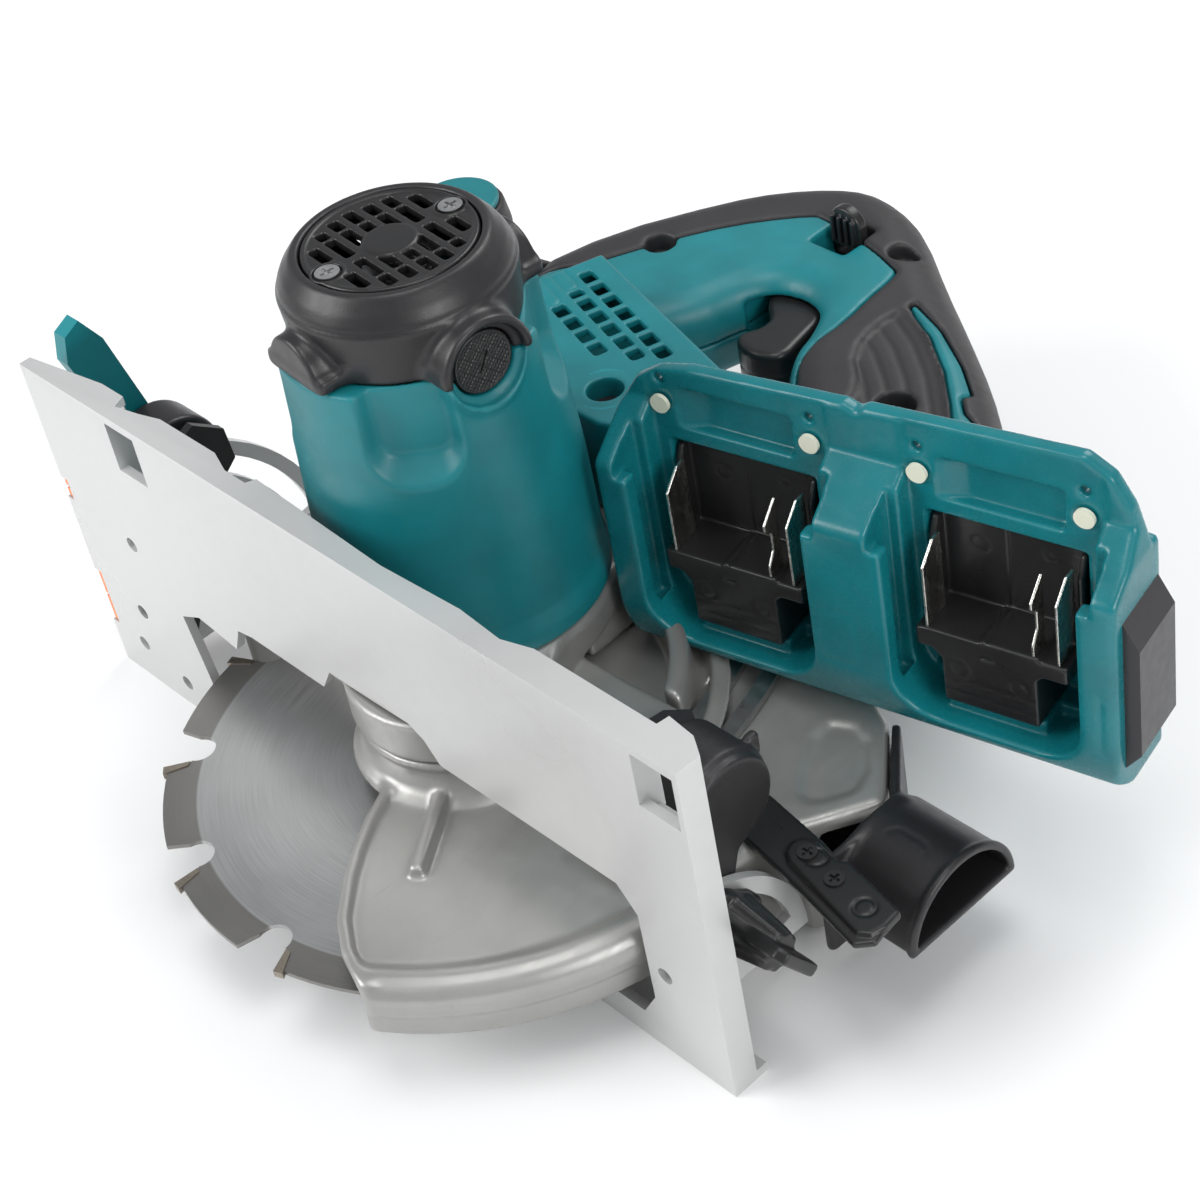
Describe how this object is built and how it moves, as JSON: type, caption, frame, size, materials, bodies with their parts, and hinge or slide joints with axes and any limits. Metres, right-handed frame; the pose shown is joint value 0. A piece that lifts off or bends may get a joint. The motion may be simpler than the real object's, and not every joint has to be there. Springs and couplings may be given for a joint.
{
  "type": "cordless circular saw",
  "caption": "Hand-held battery circular saw lying on its blade side, with swinging lower guard, tilting sole and twin battery bays.",
  "frame": {"origin": "bottom centre of the saw's box as it lies on its blade side; the blade axis is vertical", "axes": "+X towards the rear of the saw, +Y from the sole up to the handle, +Z from the blade up to the motor"},
  "size_m": [0.3339, 0.3274, 0.1864],
  "materials": {
    "teal_plastic": "fine moulded texture",
    "black_plastic": "fine moulded texture",
    "black_rubber": "leathery grain",
    "cast_silver": "silver paint over a pressure casting",
    "base_silver": "silver paint over a pressure casting",
    "blade_steel": "radial grinding marks",
    "carbide": "ground carbide with brazing at its root",
    "machined_steel": "turned",
    "black_steel": "black oxide",
    "lamination_steel": "stacked sheet",
    "magnet_grey": "sintered",
    "copper": "copper",
    "contact_metal": "plated sheet",
    "cream_rubber": "soft pad",
    "orange_plastic": "clear orange moulding"
  },
  "bodies": {
    "saw_body": {"blade_case": "cast_silver", "gear_housing": "cast_silver", "spindle_bearing": "machined_steel", "armature_bearings": "machined_steel", "motor_housing": "teal_plastic", "motor_end_cover": "black_plastic", "motor_grille": "black_plastic", "grille_screws": "machined_steel", "brush_caps": "black_plastic", "carbon_brushes": "magnet_grey", "stator_can": "lamination_steel", "stator_magnets": "magnet_grey", "battery_housing": "teal_plastic", "handle_left": "teal_plastic", "handle_right": "teal_plastic", "grip_cover": "black_rubber", "terminal_blocks": "black_plastic", "terminal_contacts": "contact_metal", "bay_pads": "cream_rubber", "rear_bumper": "black_plastic", "switch_body": "black_plastic", "control_module": "black_plastic", "front_grip": "black_rubber", "front_grip_cap": "teal_plastic", "dust_nozzle": "black_plastic", "nozzle_arm": "black_plastic", "nozzle_screws": "machined_steel"},
    "spindle_set": {"inner_flange": "machined_steel", "outer_flange": "machined_steel", "spindle": "machined_steel", "arbor_bolt": "machined_steel", "blade": "blade_steel", "carbide_tips": "carbide", "drive_gear": "machined_steel"},
    "armature": {"armature_shaft": "machined_steel", "pinion": "machined_steel", "armature_core": "lamination_steel", "armature_windings": "copper", "commutator": "copper", "cooling_fan": "black_plastic"},
    "guard": {"lower_guard": "cast_silver"},
    "trigger_body": {"trigger": "black_plastic"},
    "lock_off": {"lock_off_lever": "black_plastic"},
    "shaft_lock": {"shaft_lock_button": "black_plastic"},
    "depth_clamp": {"depth_lever": "black_plastic"},
    "cradle": {"front_bracket": "black_steel", "rear_bracket": "black_steel", "depth_guide": "machined_steel", "pivot_pin": "machined_steel", "clamp_bolt": "machined_steel", "clamp_hood": "black_plastic", "tilt_pins": "machined_steel"},
    "bevel_clamp": {"bevel_lever": "teal_plastic"},
    "rear_clamp": {"wing_screw": "black_plastic"},
    "base": {"base_plate": "base_silver", "bevel_quadrants": "base_silver", "sight_guides": "orange_plastic"}
  },
  "joints": [
    {"name": "blade_spin", "type": "hinge", "parent": "saw_body", "child": "spindle_set", "pos_m": [-0.008, -0.0703, 0.0284], "axis": [0, 0, 1], "continuous": true},
    {"name": "armature_spin", "type": "hinge", "parent": "saw_body", "child": "armature", "pos_m": [-0.0265, -0.0453, 0.0884], "axis": [0, 0, 1], "continuous": true},
    {"name": "guard_swing", "type": "hinge", "parent": "saw_body", "child": "guard", "pos_m": [-0.008, -0.0703, 0.0384], "axis": [0, 0, 1], "range_deg": [-97, 30]},
    {"name": "trigger_pull", "type": "hinge", "parent": "saw_body", "child": "trigger_body", "pos_m": [-0.043, 0.1047, 0.0684], "axis": [0, 0, 1], "range_deg": [0, 9], "stiffness_Nm_per_rad": 0.5},
    {"name": "lock_off_press", "type": "slide", "parent": "saw_body", "child": "lock_off", "axis": [0, -1, 0], "range_m": [0, 0.005], "stiffness_N_per_m": 300},
    {"name": "shaft_lock_press", "type": "slide", "parent": "saw_body", "child": "shaft_lock", "axis": [-1, 0, 0], "range_m": [0, 0.0025], "stiffness_N_per_m": 600},
    {"name": "depth_lever_turn", "type": "hinge", "parent": "saw_body", "child": "depth_clamp", "pos_m": [0.05825, -0.04725, 0.0484], "axis": [0, 0, 1], "range_deg": [-35, 0]},
    {"name": "depth_pivot", "type": "hinge", "parent": "saw_body", "child": "cradle", "pos_m": [-0.12, -0.0723, 0.0544], "axis": [0, 0, 1], "range_deg": [-29, 0]},
    {"name": "bevel_tilt", "type": "hinge", "parent": "cradle", "child": "base", "pos_m": [-0.008, -0.0893, 0.0144], "axis": [1, 0, 0], "range_deg": [0, 45]},
    {"name": "bevel_lever_turn", "type": "hinge", "parent": "cradle", "child": "bevel_clamp", "pos_m": [-0.163, -0.0663, 0.0704], "axis": [1, 0, 0], "range_deg": [-60, 0]},
    {"name": "wing_screw_turn", "type": "hinge", "parent": "cradle", "child": "rear_clamp", "pos_m": [0.122, -0.0793, 0.0444], "axis": [1, 0, 0], "range_deg": [0, 180]}
  ],
  "couplings": [
    {"joint": "armature_spin", "follows": "blade_spin", "ratio": -5.25}
  ]
}
